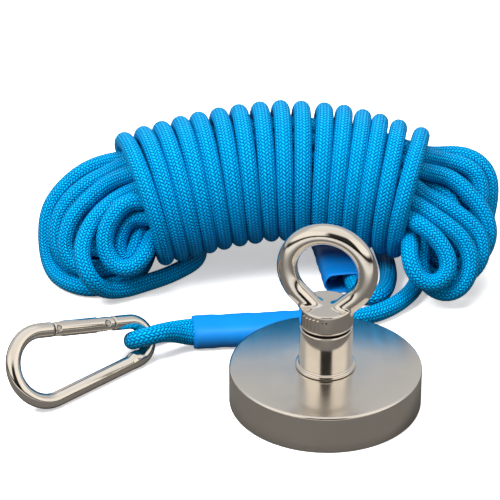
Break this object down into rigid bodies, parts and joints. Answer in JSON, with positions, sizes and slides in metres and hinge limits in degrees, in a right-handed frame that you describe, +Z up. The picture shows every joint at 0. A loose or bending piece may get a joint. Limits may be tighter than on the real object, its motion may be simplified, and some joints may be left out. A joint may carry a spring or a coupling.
{
  "type": "magnet fishing magnet",
  "caption": "Nickel-plated pot magnet with a screwed neck and a lifting eyebolt, and a braided rope in a hank with sleeved eyes and a sprung snap hook.",
  "frame": {"origin": "centre of the magnet's pulling face, which lies on the ground", "axes": "+Z up along the magnet's axis, +Y from the magnet towards the rope hank, +X to the right with the magnet in front"},
  "size_m": [0.2373, 0.2425, 0.0933],
  "materials": {
    "nickel_plate": "polished nickel plate, warm",
    "magnet_plate": "satin nickel plate",
    "resin": "black potting resin",
    "brass": "turned",
    "zinc_steel": "zinc plate, satin",
    "rubber": "matt black",
    "rope": "solid braid, cyan blue",
    "sleeve": "satin heat-shrunk sleeve, azure"
  },
  "bodies": {
    "magnet": {"steel_pot": "nickel_plate", "magnet_ring": "magnet_plate", "resin_ring": "resin", "centre_bush": "brass", "countersunk_screw": "zinc_steel", "threaded_neck": "nickel_plate"},
    "washer": {"sealing_washer": "rubber"},
    "eyebolt": {"eyebolt": "nickel_plate"},
    "rope_set": {"clip_end_rope": "rope", "clip_end_sleeve": "sleeve", "far_end_rope": "rope", "far_end_sleeve": "sleeve", "hank_turns": "rope", "hank_left_loops": "rope", "hank_right_loops": "rope"},
    "hook": {"hook_body": "nickel_plate", "gate_rivet": "zinc_steel"},
    "gate": {"gate": "nickel_plate", "latch_pin": "zinc_steel", "spring_plunger": "zinc_steel", "gate_spring": "zinc_steel"}
  },
  "joints": [
    {"name": "eyebolt_rise", "type": "slide", "parent": "magnet", "child": "washer", "axis": [0, 0, 1], "range_m": [0, 0.0105]},
    {"name": "eyebolt_unscrew", "type": "hinge", "parent": "washer", "child": "eyebolt", "pos_m": [0, 0, 0.0419], "axis": [0, 0, 1], "range_deg": [0, 2520]},
    {"name": "rope_set_away", "type": "slide", "parent": "magnet", "child": "rope_set", "axis": [0, 1, 0], "range_m": [0, 0.15]},
    {"name": "hook_swing", "type": "hinge", "parent": "rope_set", "child": "hook", "pos_m": [-0.08467, 0.03907, 0.01028], "axis": [-0.2672, 0.4895, 0.83], "range_deg": [0, 70]},
    {"name": "gate_open", "type": "hinge", "parent": "hook", "child": "gate", "pos_m": [-0.10465, 0.03083, 0.02225], "axis": [0.5773, -0.6084, 0.5446], "range_deg": [0, 36], "stiffness_Nm_per_rad": 0.2, "springref_deg": -22.92}
  ],
  "couplings": [
    {"joint": "eyebolt_rise", "follows": "eyebolt_unscrew", "m_per_rad": 0.00023873}
  ]
}
